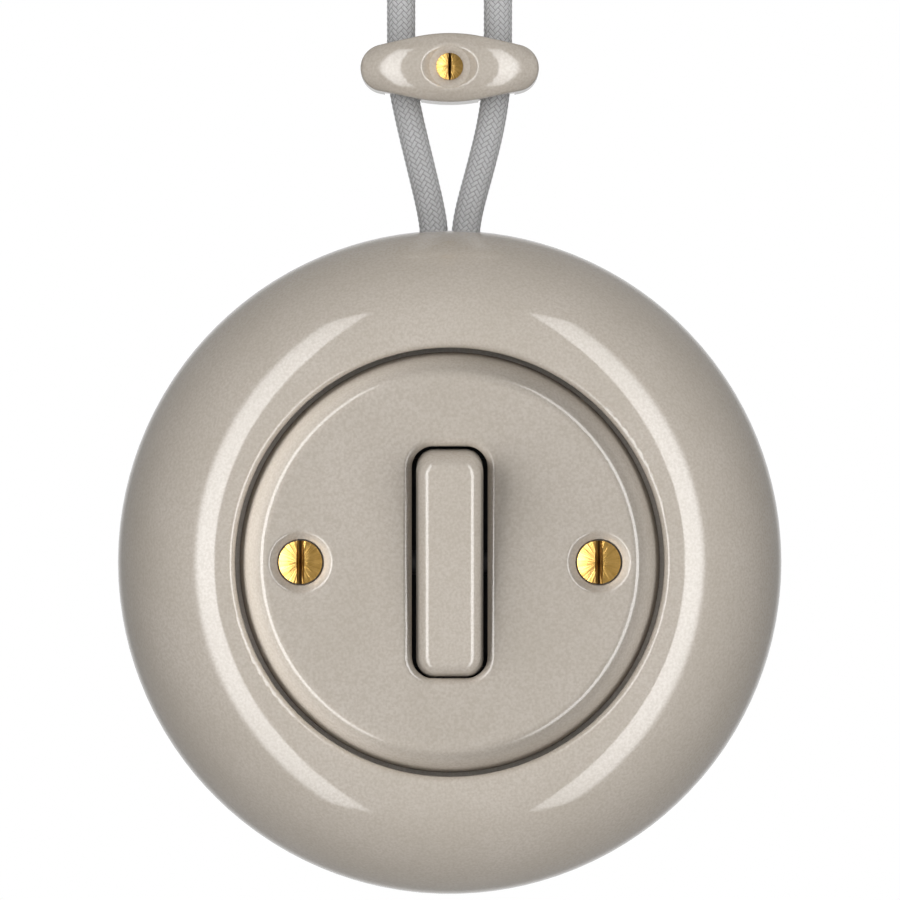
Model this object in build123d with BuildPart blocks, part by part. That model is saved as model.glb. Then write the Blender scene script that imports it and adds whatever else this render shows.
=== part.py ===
from build123d import *
from math import acos, asin, atan2, cos, degrees, hypot, pi, radians, sin, sqrt, tan
import os

os.makedirs("parts", exist_ok=True)

# A round porcelain switch for a wall, with a slim rocker, two braided cords that leave at
# the top and the porcelain clips that hold them. Millimetres. The origin is the middle of
# the back on the wall, +X to the right, +Z up, and the front looks along -Y. A depth is
# measured from the wall towards the front.

# Cover ring
ring_diameter = 100.0
ring_widest_depth = 9.4
ring_crest_depth = 35.0
ring_wall = 5.0
ring_foot_inset = 2.5
ring_foot_width = 3.5
ring_foot_rounding = 0.8
opening_radius = 31.7
opening_rounding = 1.1
shelf_depth = 28.5
shelf_thickness = 4.0
shelf_width = 3.1
cavity_turn = 20.0

# Centre plate
plate_gap = 0.5
plate_front = 37.5
plate_thickness = 3.5
plate_edge_width = 4.2
plate_edge_rounding = 2.1
plate_edge_turn = 50.0
plate_rim_width = 3.4
plate_rim_land = 1.13
slot_gap = 0.63
slot_end_gap = 0.15
slot_corner = 2.9
slot_rounding = 1.3
slot_relief = 11.0
recess_radius = 4.6
recess_angle = 96.0
recess_rounding = 0.8
boss_radius = 4.7
boss_height = 2.7

# Cover screws
cover_screw_spacing = 44.0
cover_head_radius = 3.2
cover_head_side = 1.3
cover_head_dome = 0.7
cover_head_gap = 0.25
cover_head_sink = 0.2
cover_shank_radius = 1.75
cover_shank_length = 13.0
cover_slot_width = 1.2
cover_slot_depth = 1.2
screw_clearance = 0.35
thread_clearance = 0.05
slot_draft = 12.0
screw_point = 0.5
screw_tip_share = 0.2

# Rocker button and how it swings
pivot_depth = 31.5
rocker_tilt = 4.7
button_width = 9.9
button_length = 33.9
button_end_rise = 1.5
button_rise = 2.8
button_draft = 9.0
button_corner = 2.7
button_rounding = 2.1
button_shoulder = 0.8
socket_width = 5.7
socket_length = 25.3
socket_depth = 3.5
socket_corner = 1.5
glue_gap = 0.15

# Rocker cradle, its pin, spring and plunger
pin_radius = 1.0
pin_overhang = 0.3
pin_running = 0.05
pin_grip = 0.02
hub_radius = 1.8
hub_gap = 0.1
hub_side_gap = 0.4
pin_chamfer = 0.15
tongue_back = 0.9
spring_gap = 0.1
stem_radius = 3.2
stem_length = 10.5
bore_roof = 2.4
plunger_radius = 2.0
plunger_slide = 0.1
plunger_top = 7.6
plunger_gap = 0.05
spring_wire = 0.28
spring_radius = 1.55
spring_turns = 5

# Base on the wall
base_gap = 0.6
cut_spare = 1.0
base_thickness = 4.0
base_rim_height = 3.5
base_rim_width = 2.0
base_relief = 1.0
base_pad_radius = 15.0
base_land = 6.0
post_spacing = 47.4
post_radius = 3.6
post_foot_radius = 4.6
wall_hole_spacing = 60.0
wall_hole_radius = 2.2
wall_slot_length = 8.0
wall_hole_land = 5.0
post_hole_spare = 1.0

# Mounting strap and its screws
strap_depth = 26.0
strap_thickness = 1.2
strap_gap = 1.0
strap_bar_width = 16.0
strap_tall_width = 28.0
window_width = 19.4
window_height = 34.4
window_corner = 1.5
strap_corner = 3.0
strap_slot_width = 0.8
strap_slot_depth = 0.9
bush_radius = 3.2
bush_height = 3.0
strap_head_radius = 2.8
strap_head_side = 1.1
strap_head_dome = 0.6
strap_shank_radius = 1.45
strap_shank_length = 8.0

# Moulded housing of the mechanism
housing_floor_depth = 8.2
housing_floor = 2.0
housing_width = 17.6
housing_height = 36.0
cavity_width = 12.0
cavity_height = 31.0
lid_ledge = 0.5
lid_depth = 22.3
lid_thickness = 1.4
lid_gap = 0.1
lid_stem_gap = 0.4
flange_width = 25.8
flange_height = 39.0
flange_thickness = 1.5
housing_corner = 1.0
ear_thickness = 2.3
ear_height = 6.4
ear_top_radius = 2.2
rivet_spacing_x = 22.4
rivet_spacing_z = 30.0
rivet_radius = 1.0
rivet_head_radius = 1.5
rivet_head_height = 0.6
rivet_flat_share = 0.7
rivet_side_share = 0.4

# Contacts and terminals
blade_depth = 14.0
blade_thickness = 1.0
blade_width = 6.0
blade_length = 27.0
trunnion_radius = 0.45
trunnion_running = 0.06
contact_inset = 1.5
contact_gap = 0.25
contact_radius = 1.4
contact_height = 0.7
contact_tail = 0.3
contact_shank_radius = 0.8
contact_chamfer = 0.15
blade_corner = 1.5
trunnion_spare = 0.2
fork_width = 4.4
fork_height = 1.0
strip_thickness = 0.8
strip_width = 5.0
strip_gap = 0.1
fulcrum_inset = 3.4
fulcrum_wall = 0.8
strip_start = 3.0
terminal_width = 7.0
terminal_height = 8.0
terminal_span = 7.0
terminal_corner = 0.8
terminal_gap = 0.2
terminal_hole_radius = 1.3
shelf_plate = 1.0
shelf_margin = 0.6
clamp_radius = 1.4
clamp_head_radius = 2.1
clamp_head_side = 1.2
clamp_head_dome = 0.3
clamp_lift = 1.0

# Cords, grommet and the wires inside
cord_radius = 2.17
cord_depth = 3.0
cord_end = 106.0
cord_left_route = [
    (-2.22, 44.0), (-2.25, 47.4), (-2.45, 51.2), (-3.10, 54.6), (-4.20, 59.2),
    (-6.10, 67.0), (-7.15, 72.2), (-7.35, 76.4), (-7.37, cord_end),
]
cord_right_route = [
    (2.22, 44.0), (2.27, 47.4), (2.50, 51.0), (3.13, 54.2), (4.60, 59.5),
    (6.10, 65.4), (6.95, 70.6), (7.30, 75.6), (7.36, cord_end),
]
grommet_width = 11.0
grommet_height = 6.2
grommet_corner = 2.2
grommet_length = 5.0
grommet_recess = 1.8
grommet_clearance = 0.1
grommet_grip = 0.05
channel_margin = 0.8
channel_run = 4.4
core_radius = 0.75
core_spread = 0.86
core_gap = 0.1
bend_share = 0.45
live_rise = (3.3, 41.0)
live_left_way = [(-5.5, 6.5, 36.0), (-11.5, 9.0, 26.0), (-12.5, 12.7, 14.0)]
live_right_way = [(5.5, 6.5, 36.0), (11.0, 9.5, 28.5), (12.5, 12.7, 20.5)]
neutral_rise = (3.5, 41.6)
neutral_entry = (7.1, 38.4)
connector_width = 8.0
connector_depth = 7.0
connector_length = 7.0
connector_top = 36.4
connector_pitch = 3.6
connector_hole_radius = 1.2
connector_hole_depth = 4.0
connector_corner = 0.8
connector_wire_height = 3.5

# Porcelain clips over the cords
cleat_levels = {"cable_cleat": 74.7, "upper_cleat": 95.0}
cleat_length = 26.96
cleat_width = 10.4
cleat_lobe_radius = 3.55
cleat_middle_radius = 24.0
cleat_height = 11.5
cleat_crown = 6.2
cleat_top_radius = 34.0
cleat_top_turn = 11.0
cleat_end_radius = 16.0
cleat_end_turn = 50.0
cleat_seam = 0.05
cleat_rounding = 1.2
groove_offset = 7.1
groove_radius = 2.75
cleat_recess_radius = 4.7
cleat_recess_angle = 106.0
cleat_recess_rounding = 0.55
cleat_seat_radius = 3.1
cleat_head_radius = 2.02
cleat_head_side = 0.9
cleat_head_dome = 0.6
cleat_neck_radius = 1.5
cleat_neck_overrun = 0.5
cleat_thread_radius = 1.3
cleat_screw_length = 25.0
cleat_screw_point = 5.0
cleat_slot_width = 0.55
cleat_slot_depth = 0.9

# Ends of the cords, past the upper clip
sleeve_wall = 0.35
sleeve_gap = 0.02
sleeve_overlap = 3.0
sleeve_overrun = 1.2
core_tail = 5.0
strand_radius = 0.5
strand_tail = 4.0

# Depths and radii that follow from the sizes above
ring_radius = ring_diameter / 2
ring_crest_rise = ring_crest_depth - ring_widest_depth
ring_cavity_radius = ring_radius - ring_wall
ring_foot_radius = ring_radius - ring_foot_inset
ring_foot_inner = ring_foot_radius - ring_foot_width
plate_radius = opening_radius - plate_gap
plate_back = plate_front - plate_thickness
plate_flat_radius = plate_radius - plate_edge_width
plate_rim_inner = plate_radius - plate_rim_width
plate_rise = plate_front - pivot_depth
cover_seat_radius = cover_head_radius + cover_head_gap
cover_seat = plate_front - cover_head_side - cover_head_dome - cover_head_sink
cover_hole_radius = cover_shank_radius + screw_clearance
cover_x = cover_screw_spacing / 2
slot_throat = slot_rounding * (tan(radians(slot_relief)) + 1 / cos(radians(slot_relief)) - 1)
slot_width = button_width + 2 * (slot_gap - slot_throat)
slot_length = button_length + 2 * (slot_end_gap - slot_throat)
button_top = plate_rise + button_rise
button_back = hub_radius + hub_gap
button_step = plate_rise - button_shoulder
end_radius = button_length / 2
base_radius = ring_foot_inner - base_gap
channel_low = base_radius - base_rim_width - channel_run
grommet_outer = ring_radius - grommet_recess
grommet_inner = grommet_outer - grommet_length
post_z = post_spacing / 2
wall_hole_x = wall_hole_spacing / 2
strap_front = strap_depth + strap_thickness
strap_radius = opening_radius - shelf_width - strap_gap
cavity_floor = housing_floor_depth + housing_floor
lid_hole_width = 2 * (stem_radius + lid_stem_gap)
lid_hole_length = lid_hole_width + 2 * (pivot_depth - lid_depth) * tan(radians(rocker_tilt))
contact_reach = blade_length / 2 - contact_inset
ear_inset = cavity_width / 2
pin_half_length = ear_inset + ear_thickness + pin_overhang
hub_half_length = ear_inset - hub_side_gap
strip_front = cavity_floor + strip_thickness
shelf_front = housing_floor_depth + shelf_plate
terminal_x = housing_width / 2 + terminal_gap
terminal_middle = terminal_x + terminal_width / 2
terminal_front = shelf_front + terminal_height
wire_depth = shelf_front + terminal_height / 2
post_height = strap_depth - base_thickness
plunger_reach = pivot_depth - blade_depth - blade_thickness / 2 - plunger_gap
spring_rise = plunger_top - bore_roof - 2 * (spring_wire + spring_gap)
terminal_places = {
    "terminal_common": (-terminal_middle, 0),
    "terminal_upper": (terminal_middle, contact_reach),
    "terminal_lower": (terminal_middle, -contact_reach),
}
shelf_span = terminal_span + 2 * shelf_margin
clamp_length = terminal_front + clamp_lift - wire_depth - core_radius
blade_turn = radians(rocker_tilt)
contact_drop = (blade_thickness / 2 + contact_height) * cos(blade_turn)
contact_face = blade_depth - contact_reach * sin(blade_turn) - contact_drop
contact_z = contact_reach * cos(blade_turn)
fixed_rivet_height = contact_face - contact_gap - strip_front
cord_section = pi * cord_radius**2
connector_x = connector_pitch / 2
connector_wire_depth = base_thickness + connector_wire_height
connector_stop = connector_top - connector_hole_depth + core_gap
core_outer = -cord_left_route[0][0] + core_spread
core_inner = -cord_left_route[0][0] - core_spread
core_start = cord_left_route[0][1] - core_gap
live_routes = [
    [
        (-core_outer, cord_depth, core_start), (-core_outer, *live_rise), *live_left_way,
        (-terminal_middle, wire_depth, 0),
    ],
    [
        (core_outer, cord_depth, core_start), (core_outer, *live_rise), *live_right_way,
        (terminal_middle, wire_depth, contact_reach),
    ],
]
neutral_routes = [
    [
        (side * core_inner, cord_depth, core_start), (side * core_inner, *neutral_rise),
        (side * connector_x, *neutral_entry), (side * connector_x, connector_wire_depth, connector_stop),
    ]
    for side in (-1, 1)
]
cord_end_places = [(route[-1][0], cord_depth) for route in (cord_left_route, cord_right_route)]
core_end_places = [
    (x + side * core_spread, depth) for x, depth in cord_end_places for side in (-1, 1)
]
cleat_waist = cleat_height - cleat_crown
cleat_lobe_x = cleat_length / 2 - cleat_lobe_radius
cleat_middle_drop = cleat_middle_radius - cleat_width / 2
cleat_centre_span = hypot(cleat_lobe_x, cleat_middle_drop)
cleat_flank_turn = degrees(
    atan2(cleat_middle_drop, cleat_lobe_x)
    + acos((cleat_middle_radius - cleat_lobe_radius) / cleat_centre_span)
)
cleat_recess_depth = (cleat_recess_radius - cleat_seat_radius) / tan(radians(cleat_recess_angle / 2))
cleat_seat = cleat_height - cleat_recess_depth
cleat_neck_length = cleat_seat + cleat_neck_overrun

# Planes: seen from the front, the half section of a turned piece, and the tilted frames of
# the rocker and of the contact blade
wall_axis = Axis((0, 0, 0), (0, 1, 0))
half_section = Plane(origin=(0, 0, 0), x_dir=(1, 0, 0), z_dir=(0, 0, -1))


def front_plane(depth):
    """A plane parallel to the wall: sketches read (x, z), extrusions come forwards."""
    return Plane(origin=(0, -depth, 0), x_dir=(1, 0, 0), z_dir=(0, -1, 0))


def level_plane(z):
    """A level plane: sketches read (x, depth), positive extrusions go down."""
    return Plane(origin=(0, 0, z), x_dir=(1, 0, 0), z_dir=(0, 0, -1))


def tilted_plane(depth, tilt):
    """The frame of a piece that swings about a line along X: local Z points forwards."""
    turn = radians(tilt)
    return Plane(origin=(0, -depth, 0), x_dir=(1, 0, 0), z_dir=(0, -cos(turn), -sin(turn)))


def side_of(frame):
    """The side view of a tilted frame: sketches read (length, height)."""
    return Plane(origin=frame.origin, x_dir=frame.y_dir, z_dir=frame.x_dir)


def side_plane(x):
    """A plane seen from the side: sketches read (z, depth), extrusions go towards +X."""
    return Plane(origin=(x, 0, 0), x_dir=(0, 0, 1), z_dir=(1, 0, 0))


def bend_radii(points):
    """The radius at each corner: a share of the shorter run over the tangent of half the turn."""
    radii = []
    for before, corner, after in zip(points, points[1:], points[2:]):
        turn = radians((corner - before).get_angle(after - corner))
        radii.append(bend_share * min((corner - before).length, (after - corner).length) / tan(turn / 2))
    return radii


def across(frame):
    """The cross section of a tilted frame: sketches read (x, height)."""
    return Plane(origin=frame.origin, x_dir=frame.x_dir, z_dir=-frame.y_dir)


rocker_frame = tilted_plane(pivot_depth, rocker_tilt)
rocker_axis = Axis(rocker_frame.origin, rocker_frame.z_dir)
blade_frame = tilted_plane(blade_depth, -rocker_tilt)


def screw(x, z, seat, head, shank, slot, point=screw_point, neck=None):
    """Turns a slotted screw whose head sits at the seat depth, into the part being built.

    head is (radius, side, dome), shank (radius, length), slot (width, depth) and neck, the
    plain stretch under the head, (radius, length).
    """
    head_radius, side, dome = head
    shank_radius, length = shank
    driver_width, driver_depth = slot
    under_head = [(shank_radius, seat)]
    if neck:
        neck_radius, neck_length = neck
        neck_end = seat - neck_length
        under_head = [(neck_radius, seat), (neck_radius, neck_end), (shank_radius, neck_end)]
    with BuildSketch(Plane(origin=(x, 0, z), x_dir=(1, 0, 0), z_dir=(0, 0, -1))) as profile:
        with BuildLine():
            crown = TangentArc((0, seat + side + dome), (head_radius, seat + side), tangent=(1, 0))
            Polyline(
                crown @ 1,
                (head_radius, seat),
                *under_head,
                (shank_radius, seat - length + point),
                (shank_radius * screw_tip_share, seat - length),
                (0, seat - length),
                crown @ 0,
            )
        make_face()
    revolve(profile.sketch, axis=Axis((x, 0, z), (0, 1, 0)))
    with BuildSketch(front_plane(seat + side + dome)) as driver_slot:
        with Locations((x, z)):
            Rectangle(driver_width, 2 * head_radius + cut_spare)
    extrude(driver_slot.sketch, amount=-driver_depth, taper=slot_draft, mode=Mode.SUBTRACT)


def rivet(frame, places, radius, head_radius, low, high, head_height, tail_height):
    """Turns rivets along a frame's normal, each with a head over high and one under low."""
    for x, y in places:
        axis_plane = Plane(
            origin=frame.from_local_coords((x, y, 0)), x_dir=frame.x_dir, z_dir=-frame.y_dir
        )
        with BuildSketch(axis_plane) as profile:
            with BuildLine():
                Polyline(
                    (0, high + head_height),
                    (head_radius * rivet_flat_share, high + head_height),
                    (head_radius, high + head_height * rivet_side_share),
                    (head_radius, high),
                    (radius, high),
                    (radius, low),
                    (head_radius, low),
                    (head_radius, low - tail_height * rivet_side_share),
                    (head_radius * rivet_flat_share, low - tail_height),
                    (0, low - tail_height),
                    close=True,
                )
            make_face()
        revolve(profile.sketch, axis=Axis(axis_plane.origin, axis_plane.y_dir))


# The cover ring: an elliptical shoulder from its widest line up to the opening
with BuildPart() as porcelain_ring:
    with BuildSketch(half_section) as ring_section:
        with BuildLine():
            crest = EllipticalCenterArc(
                (opening_radius, ring_widest_depth),
                ring_radius - opening_radius,
                ring_crest_rise,
                start_angle=0,
                arc_size=90,
            )
            skirt = TangentArc(crest @ 0, (ring_foot_radius, 0), tangent=(0, -1))
            shelf_back = shelf_depth - shelf_thickness
            cavity_rise = ring_crest_rise - ring_wall
            shelf_turn = degrees(atan2(shelf_back - ring_widest_depth, cavity_rise))
            cavity_reach = ring_cavity_radius - opening_radius
            shelf_meets = opening_radius + cavity_reach * sqrt(
                1 - ((shelf_back - ring_widest_depth) / cavity_rise) ** 2
            )
            cavity_lean = radians(shelf_turn + cavity_turn)
            cavity = Spline(
                (ring_cavity_radius, ring_widest_depth),
                (shelf_meets, shelf_back),
                tangents=[(0, 1), (-sin(cavity_lean), cos(cavity_lean))],
            )
            Polyline(
                skirt @ 1,
                (ring_foot_inner, 0),
                cavity @ 0,
            )
            Polyline(
                cavity @ 1,
                (opening_radius - shelf_width, shelf_back),
                (opening_radius - shelf_width, shelf_depth),
                (opening_radius, shelf_depth),
                crest @ 1,
            )
        make_face()
        corners = ring_section.vertices()
        fillet(corners.sort_by_distance((opening_radius, ring_crest_depth))[0], opening_rounding)
        corners = ring_section.vertices()
        fillet(corners.sort_by_distance((ring_foot_radius, 0))[0], ring_foot_rounding)
        corners = ring_section.vertices()
        fillet(corners.sort_by_distance((ring_foot_inner, 0))[0], ring_foot_rounding)
    revolve(axis=wall_axis)
    with BuildSketch(level_plane(ring_radius + cut_spare)) as notch:
        with Locations((0, grommet_height / 2)):
            Rectangle(grommet_width, grommet_height)
        fillet(notch.vertices().group_by(Axis.Y)[-1], grommet_corner)
    extrude(amount=ring_radius + cut_spare - channel_low, mode=Mode.SUBTRACT)
porcelain_ring.part.label = "porcelain_ring"
export_step(porcelain_ring.part, "parts/porcelain_ring.step")

# The centre plate: flat, with a rounded edge that runs down into a rim on the ring's shelf
with BuildPart() as centre_plate:
    with BuildSketch(half_section):
        with BuildLine():
            flat = Line((0, plate_front), (plate_flat_radius, plate_front))
            edge = JernArc(flat @ 1, (1, 0), plate_edge_rounding, -plate_edge_turn)
            flank_fall = (plate_radius - (edge @ 1).X) * tan(radians(plate_edge_turn))
            flank = Bezier(
                edge @ 1,
                (plate_radius, (edge @ 1).Y - flank_fall),
                (plate_radius, shelf_depth + plate_rim_land),
            )
            Polyline(
                flank @ 1,
                (plate_radius, shelf_depth),
                (plate_rim_inner, shelf_depth),
                (plate_rim_inner, plate_back),
                (0, plate_back),
                flat @ 0,
            )
        make_face()
    revolve(axis=wall_axis)
    with BuildSketch(front_plane(plate_back)):
        with Locations((-cover_x, 0), (cover_x, 0)):
            Circle(boss_radius)
    extrude(amount=-boss_height)
    with BuildSketch(front_plane(plate_front)):
        RectangleRounded(slot_width, slot_length, slot_corner)
    extrude(amount=-plate_thickness, taper=-slot_relief, mode=Mode.SUBTRACT)
    with Locations(front_plane(plate_front)):
        with Locations((-cover_x, 0), (cover_x, 0)):
            CounterSinkHole(
                cover_seat_radius,
                recess_radius,
                depth=plate_front - cover_seat,
                counter_sink_angle=recess_angle,
            )
            Hole(cover_hole_radius)
    front_edges = centre_plate.faces().sort_by(Axis.Y)[0].inner_wires()
    slot_edges = front_edges.sort_by(SortBy.LENGTH)[-1].edges()
    fillet(slot_edges, slot_rounding)
    front_edges = centre_plate.faces().sort_by(Axis.Y)[0].inner_wires()
    recess_edges = front_edges.sort_by(SortBy.LENGTH)[:2]
    fillet([wire.edges()[0] for wire in recess_edges], recess_rounding)
centre_plate.part.label = "centre_plate"
export_step(centre_plate.part, "parts/centre_plate.step")

# The two cover screws
with BuildPart() as cover_screws:
    for x in (-cover_x, cover_x):
        screw(
            x,
            0,
            cover_seat,
            (cover_head_radius, cover_head_side, cover_head_dome),
            (cover_shank_radius, cover_shank_length),
            (cover_slot_width, cover_slot_depth),
        )
cover_screws.part.label = "cover_screws"
export_step(cover_screws.part, "parts/cover_screws.step")

# The rocker button: its ends are arcs about a line near the pivot, to clear the slot's ends
with BuildPart() as rocker_button:
    with BuildSketch(side_of(rocker_frame)):
        with BuildLine():
            top_turn = degrees(asin((button_top - button_end_rise) / end_radius))
            back_turn = degrees(asin((button_back - button_end_rise) / end_radius))
            end_turn = top_turn - back_turn
            low_end = CenterArc((0, button_end_rise), end_radius, back_turn, end_turn)
            high_end = CenterArc((0, button_end_rise), end_radius, 180 - top_turn, end_turn)
            Line(low_end @ 1, high_end @ 0)
            Line(high_end @ 1, low_end @ 0)
        make_face()
    extrude(amount=button_width, both=True)
    with BuildSketch(across(rocker_frame)):
        half = button_width / 2
        drawn_in = (button_top - button_step) * tan(radians(button_draft))
        with BuildLine():
            Polyline(
                (-half, 0),
                (half, 0),
                (half, button_step),
                (half - drawn_in, button_top),
                (drawn_in - half, button_top),
                (-half, button_step),
                close=True,
            )
        make_face()
    extrude(amount=button_length, both=True, mode=Mode.INTERSECT)
    ends = rocker_button.faces().filter_by(GeomType.CYLINDER)
    end_edges = [edge for face in ends for edge in face.edges() if edge.geom_type != GeomType.LINE]
    fillet(end_edges, button_corner)
    front_face = rocker_button.faces().sort_by(rocker_axis)[-1]
    fillet(front_face.edges(), button_rounding)
    with BuildSketch(rocker_frame.offset(button_back)):
        RectangleRounded(socket_width, socket_length, socket_corner)
    extrude(amount=socket_depth, mode=Mode.SUBTRACT)
rocker_button.part.label = "rocker_button"
export_step(rocker_button.part, "parts/rocker_button.step")

# The cradle: a tongue glued into the button, a hub on the pin and a stem for the spring
with BuildPart() as rocker_cradle:
    with BuildSketch(rocker_frame.offset(tongue_back)):
        RectangleRounded(socket_width - 2 * glue_gap, socket_length - 2 * glue_gap, socket_corner)
    extrude(amount=button_back + socket_depth - glue_gap - tongue_back)
    with BuildSketch(side_of(rocker_frame)):
        Circle(hub_radius)
    extrude(amount=hub_half_length, both=True)
    with BuildSketch(rocker_frame.offset(-stem_length)):
        Circle(stem_radius)
    extrude(amount=stem_length + tongue_back)
    with BuildSketch(rocker_frame.offset(-stem_length)):
        Circle(plunger_radius + plunger_slide)
    extrude(amount=stem_length - bore_roof, mode=Mode.SUBTRACT)
    with BuildSketch(side_of(rocker_frame)):
        Circle(pin_radius + pin_running)
    extrude(amount=hub_half_length, both=True, mode=Mode.SUBTRACT)
rocker_cradle.part.label = "rocker_cradle"
export_step(rocker_cradle.part, "parts/rocker_cradle.step")

# The pin that the rocker turns on
with BuildPart() as pivot_pin:
    with BuildSketch(side_plane(-pin_half_length)):
        with Locations((0, pivot_depth)):
            Circle(pin_radius)
    extrude(amount=2 * pin_half_length)
    chamfer(pivot_pin.edges(), pin_chamfer)
pivot_pin.part.label = "pivot_pin"
export_step(pivot_pin.part, "parts/pivot_pin.step")

# The plunger in the stem, with a round tip just clear of the blade
with BuildPart() as plunger:
    with BuildSketch(across(rocker_frame)):
        with BuildLine():
            tip = CenterArc((0, plunger_radius - plunger_reach), plunger_radius, 0, -90)
            Polyline(tip @ 0, (plunger_radius, -plunger_top), (0, -plunger_top), tip @ 1)
        make_face()
    revolve(axis=rocker_axis)
plunger.part.label = "plunger"
export_step(plunger.part, "parts/plunger.step")

# The coil spring between the bore's roof and the plunger
with BuildPart() as toggle_spring:
    with BuildLine() as coil:
        Helix(
            spring_rise / spring_turns,
            spring_rise,
            spring_radius,
            center=rocker_frame.from_local_coords((0, 0, spring_wire + spring_gap - plunger_top)),
            direction=rocker_frame.z_dir,
        )
    with BuildSketch(Plane(origin=coil.line @ 0, z_dir=coil.line % 0)):
        Circle(spring_wire)
    sweep(is_frenet=True)
toggle_spring.part.label = "toggle_spring"
export_step(toggle_spring.part, "parts/toggle_spring.step")

# The base on the wall, with two posts, slotted screw holes and a channel for the cords
with BuildPart() as back_base:
    with BuildSketch(front_plane(0)):
        Circle(base_radius)
    extrude(amount=base_thickness + base_rim_height)
    with BuildSketch(front_plane(base_thickness)):
        Circle(base_radius - base_rim_width)
    extrude(amount=base_rim_height, mode=Mode.SUBTRACT)
    with BuildSketch(front_plane(base_thickness)):
        with Locations((0, -post_z), (0, post_z)):
            Circle(post_foot_radius)
    extrude(amount=post_height, taper=degrees(atan2(post_foot_radius - post_radius, post_height)))
    with Locations(front_plane(strap_depth)):
        with Locations((0, -post_z), (0, post_z)):
            Hole(strap_shank_radius + thread_clearance, depth=strap_shank_length + post_hole_spare)
    with BuildSketch(front_plane(0)):
        Circle(base_radius - base_land)
        Circle(base_pad_radius, mode=Mode.SUBTRACT)
        with Locations((-wall_hole_x, 0), (wall_hole_x, 0)):
            SlotOverall(
                wall_slot_length + wall_hole_land, 2 * wall_hole_radius + wall_hole_land,
                mode=Mode.SUBTRACT,
            )
    extrude(amount=base_relief, mode=Mode.SUBTRACT)
    with BuildSketch(front_plane(0)):
        with Locations((-wall_hole_x, 0), (wall_hole_x, 0)):
            SlotOverall(wall_slot_length, 2 * wall_hole_radius)
    extrude(amount=base_thickness, mode=Mode.SUBTRACT)
    with BuildSketch(front_plane(0)):
        with Locations((0, channel_low)):
            Rectangle(
                grommet_width + 2 * channel_margin, ring_radius, align=(Align.CENTER, Align.MIN)
            )
    extrude(amount=base_thickness + base_rim_height, mode=Mode.SUBTRACT)
back_base.part.label = "back_base"
export_step(back_base.part, "parts/back_base.step")

# The pressed steel strap, with threaded bushes for the cover screws
with BuildPart() as mounting_strap:
    with BuildSketch(front_plane(strap_depth)) as strap_outline:
        Rectangle(2 * strap_radius, strap_bar_width)
        Rectangle(strap_tall_width, 2 * strap_radius)
        inner_corners = strap_outline.vertices().sort_by_distance((0, 0))[:4]
        fillet(inner_corners, strap_corner)
        Circle(strap_radius, mode=Mode.INTERSECT)
        RectangleRounded(window_width, window_height, window_corner, mode=Mode.SUBTRACT)
    extrude(amount=strap_thickness)
    with BuildSketch(front_plane(strap_front)):
        with Locations((-cover_x, 0), (cover_x, 0)):
            Circle(bush_radius)
    extrude(amount=bush_height)
    with Locations(front_plane(strap_front + bush_height)):
        with Locations((-cover_x, 0), (cover_x, 0)):
            Hole(cover_shank_radius + thread_clearance)
        with Locations((0, -post_z), (0, post_z)):
            Hole(strap_shank_radius + screw_clearance)
        with GridLocations(rivet_spacing_x, rivet_spacing_z, 2, 2):
            Hole(rivet_radius + thread_clearance)
mounting_strap.part.label = "mounting_strap"
export_step(mounting_strap.part, "parts/mounting_strap.step")

# The screws that hold the strap on the posts
with BuildPart() as strap_screws:
    for z in (-post_z, post_z):
        screw(
            0,
            z,
            strap_front,
            (strap_head_radius, strap_head_side, strap_head_dome),
            (strap_shank_radius, strap_shank_length),
            (strap_slot_width, strap_slot_depth),
        )
strap_screws.part.label = "strap_screws"
export_step(strap_screws.part, "parts/strap_screws.step")

# The moulded housing: a box under the strap, shelves for the terminals and two ears
with BuildPart() as mechanism_housing:
    with BuildSketch(front_plane(housing_floor_depth)):
        RectangleRounded(housing_width, housing_height, housing_corner)
    extrude(amount=strap_depth - housing_floor_depth)
    with BuildSketch(front_plane(strap_depth - flange_thickness)):
        RectangleRounded(flange_width, flange_height, housing_corner)
    extrude(amount=flange_thickness)
    with BuildSketch(front_plane(housing_floor_depth)):
        for x, z in terminal_places.values():
            with Locations((x / 2, z)):
                Rectangle(abs(x) + terminal_width + 2 * shelf_margin, shelf_span)
    extrude(amount=shelf_plate)
    with BuildSketch(front_plane(cavity_floor)):
        RectangleRounded(cavity_width - 2 * lid_ledge, cavity_height - 2 * lid_ledge, housing_corner)
    extrude(amount=strap_depth - cavity_floor, mode=Mode.SUBTRACT)
    with BuildSketch(front_plane(lid_depth)):
        RectangleRounded(cavity_width, cavity_height, housing_corner)
    extrude(amount=strap_depth - lid_depth, mode=Mode.SUBTRACT)
    for x, z in terminal_places.values():
        with BuildSketch(front_plane(cavity_floor)):
            with Locations((x / 2, z)):
                Rectangle(abs(x), strip_width + 2 * strip_gap)
        extrude(amount=strip_thickness + strip_gap, mode=Mode.SUBTRACT)
    for x in (-ear_inset - ear_thickness, ear_inset):
        with BuildSketch(side_plane(x)):
            with Locations((0, pivot_depth)):
                Circle(ear_top_radius)
            with Locations((0, strap_depth - flange_thickness)):
                Rectangle(ear_height, flange_thickness, align=(Align.CENTER, Align.MIN))
            make_hull()
        extrude(amount=ear_thickness)
    with BuildSketch(side_plane(-pin_half_length)):
        with Locations((0, pivot_depth)):
            Circle(pin_radius - pin_grip)
    extrude(amount=2 * pin_half_length, mode=Mode.SUBTRACT)
    with Locations(front_plane(strap_depth)):
        with GridLocations(rivet_spacing_x, rivet_spacing_z, 2, 2):
            Hole(rivet_radius + thread_clearance, depth=flange_thickness)
mechanism_housing.part.label = "mechanism_housing"
export_step(mechanism_housing.part, "parts/mechanism_housing.step")

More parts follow.
